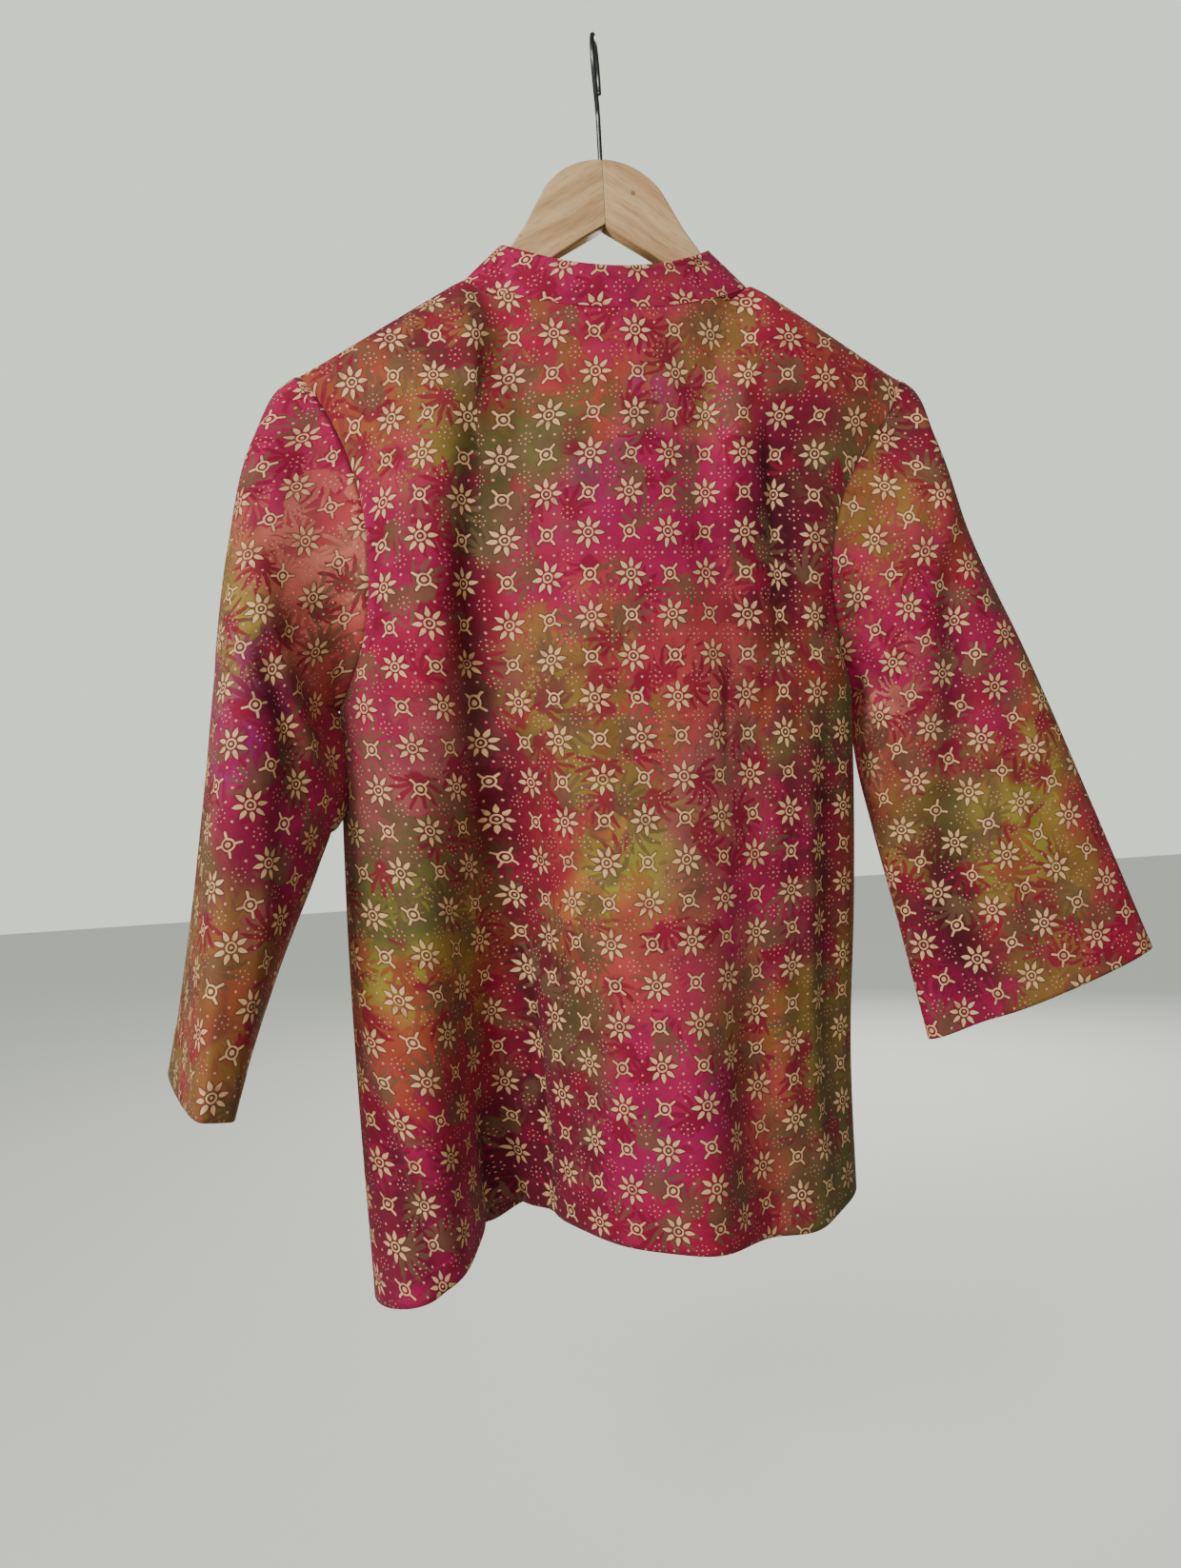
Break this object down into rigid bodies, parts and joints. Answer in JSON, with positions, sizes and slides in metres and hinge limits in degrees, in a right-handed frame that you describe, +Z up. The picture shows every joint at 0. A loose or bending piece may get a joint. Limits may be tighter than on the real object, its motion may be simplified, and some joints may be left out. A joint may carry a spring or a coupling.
{
  "type": "batik shirt on a hanger",
  "caption": "Batik cotton shirt with a stand collar and three-quarter sleeves, hanging on a wooden hanger with a wire hook.",
  "frame": {"origin": "inside top of the hook, where it sits on a rod", "axes": "+Z up, +Y out of the shirt's back, +X towards the wearer's left"},
  "size_m": [0.6939, 0.2196, 0.8452],
  "materials": {
    "cotton": "plain woven cotton, batik dyed in magenta, crimson and olive with cream motifs",
    "button": "dark red resin, semi-gloss",
    "wood": "pale sanded wood, satin varnish",
    "hook": "bright plated wire"
  },
  "bodies": {
    "root": {"back": "cotton", "front_left": "cotton", "front_right": "cotton", "placket": "cotton", "collar": "cotton", "sleeve_left": "cotton", "sleeve_right": "cotton", "button_1": "button", "button_2": "button", "button_3": "button", "button_4": "button", "button_5": "button", "button_6": "button", "button_7": "button", "hanger_arm_left": "wood", "hanger_arm_right": "wood", "hook": "hook"}
  },
  "joints": []
}
